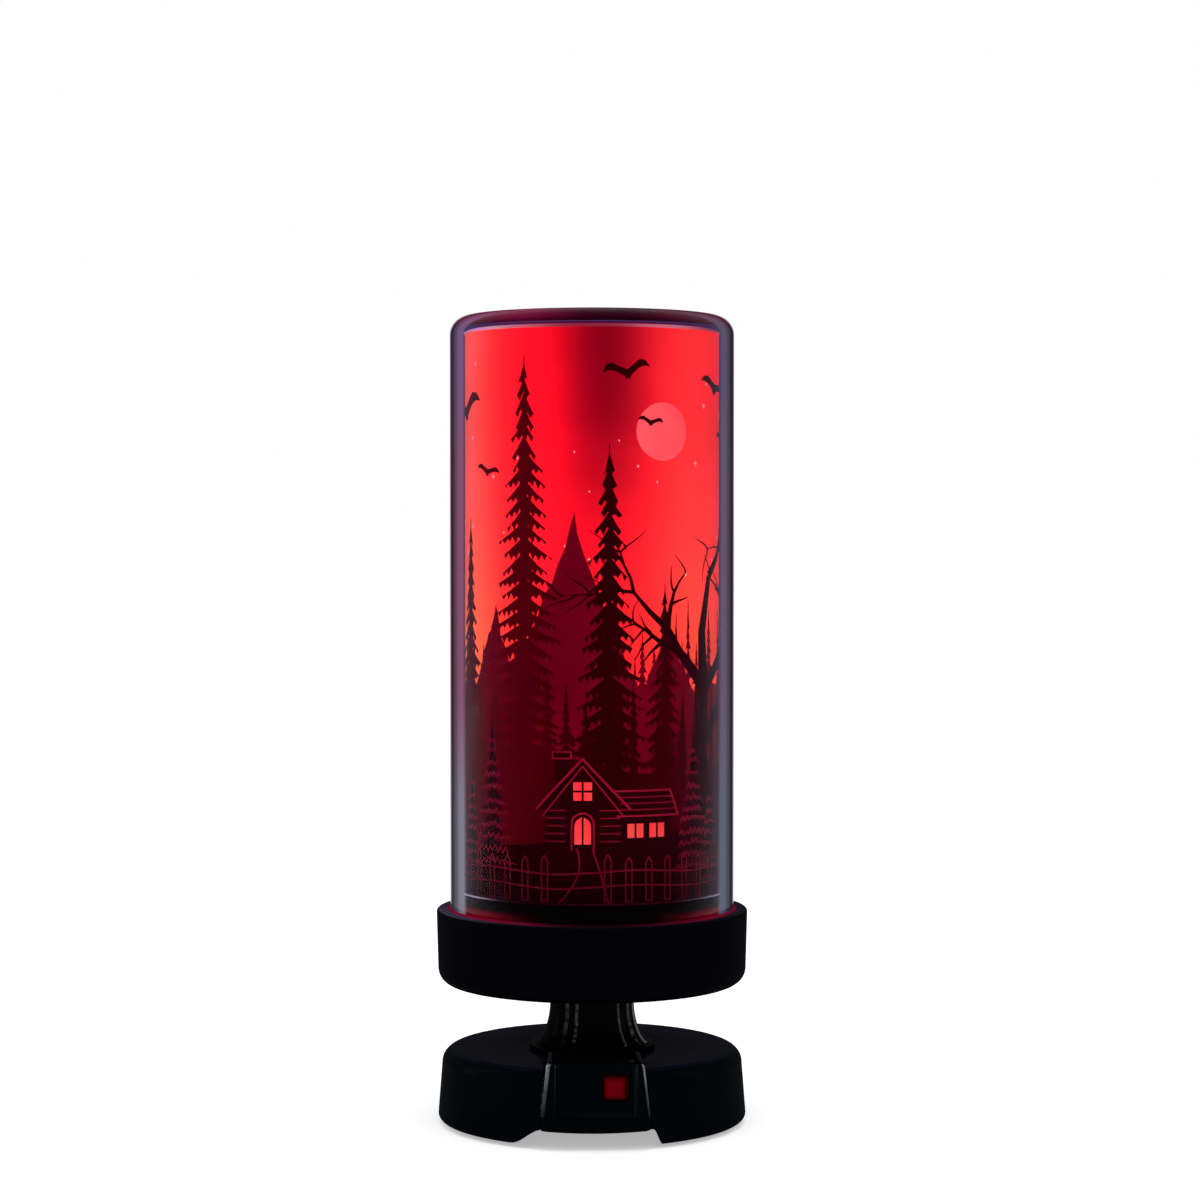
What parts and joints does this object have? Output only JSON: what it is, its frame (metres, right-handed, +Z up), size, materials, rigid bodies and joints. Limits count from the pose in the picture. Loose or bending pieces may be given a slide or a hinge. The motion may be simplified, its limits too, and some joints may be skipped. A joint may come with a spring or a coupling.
{
  "type": "glass night light",
  "caption": "Closed glass cylinder with a lit printed sleeve, in a round collar that turns on a short neck above a round foot with a push button.",
  "frame": {"origin": "centre of the base, on the surface the lamp stands on", "axes": "+Z up along the lamp's axis, front with the button towards -Y, +X to the right"},
  "size_m": [0.08, 0.08, 0.207],
  "materials": {
    "gloss_black": "polished black moulding",
    "satin_black": "satin black moulding",
    "matt_black": "fine matt black",
    "red_button": "translucent red, lit",
    "rubber": "matt rubber",
    "steel": "zinc plated",
    "brass": "turned brass",
    "fibre": "vulcanised fibre",
    "board_green": "solder mask",
    "white_plastic": "milky white",
    "cell_foil": "laminated foil",
    "led_lens": "phosphor",
    "lead_sheath": "satin sheath",
    "clear_glass": "clear polished glass",
    "lit_print": "printed film lit red from inside"
  },
  "bodies": {
    "foot": {"foot_shell": "gloss_black", "control_pod": "gloss_black", "control_plate": "gloss_black", "tact_switch": "matt_black", "control_board": "board_green", "base_plate": "matt_black", "base_screw_1": "steel", "base_screw_2": "steel", "base_screw_3": "steel", "base_screw_4": "steel", "foot_pad_1": "rubber", "foot_pad_2": "rubber", "foot_pad_3": "rubber", "foot_pad_4": "rubber", "ballast_plate": "steel", "charge_board": "board_green", "charge_board_screw_1": "steel", "charge_board_screw_2": "steel", "usb_socket": "steel", "battery_cell": "cell_foil", "neck_column": "gloss_black", "lamp_pipe": "brass", "washer_lower": "steel", "pipe_nut_lower": "brass", "friction_washer": "fibre", "stop_washer": "steel", "pipe_nut_upper": "brass", "led_lead": "lead_sheath"},
    "button": {"power_button": "red_button", "switch_plunger": "satin_black"},
    "head": {"collar_shell": "satin_black", "stop_pin": "steel", "light_seat": "satin_black", "seat_screw_1": "steel", "seat_screw_2": "steel", "seat_screw_3": "steel", "glass_gasket": "rubber", "glass_cylinder": "clear_glass", "led_board": "white_plastic", "led_board_screw_1": "steel", "led_board_screw_2": "steel", "led_1": "led_lens", "led_2": "led_lens", "led_3": "led_lens", "led_4": "led_lens", "led_5": "led_lens", "led_6": "led_lens", "diffuser_tube": "white_plastic", "diffuser_cap": "white_plastic", "printed_film": "lit_print"}
  },
  "joints": [
    {"name": "head_turn", "type": "hinge", "parent": "foot", "child": "head", "pos_m": [0, 0, 0.0363], "axis": [0, 0, 1], "range_deg": [-165, 165]},
    {"name": "button_press", "type": "slide", "parent": "foot", "child": "button", "axis": [0, 1, 0], "range_m": [0, 0.001], "stiffness_N_per_m": 200, "springref_m": -0.002}
  ]
}
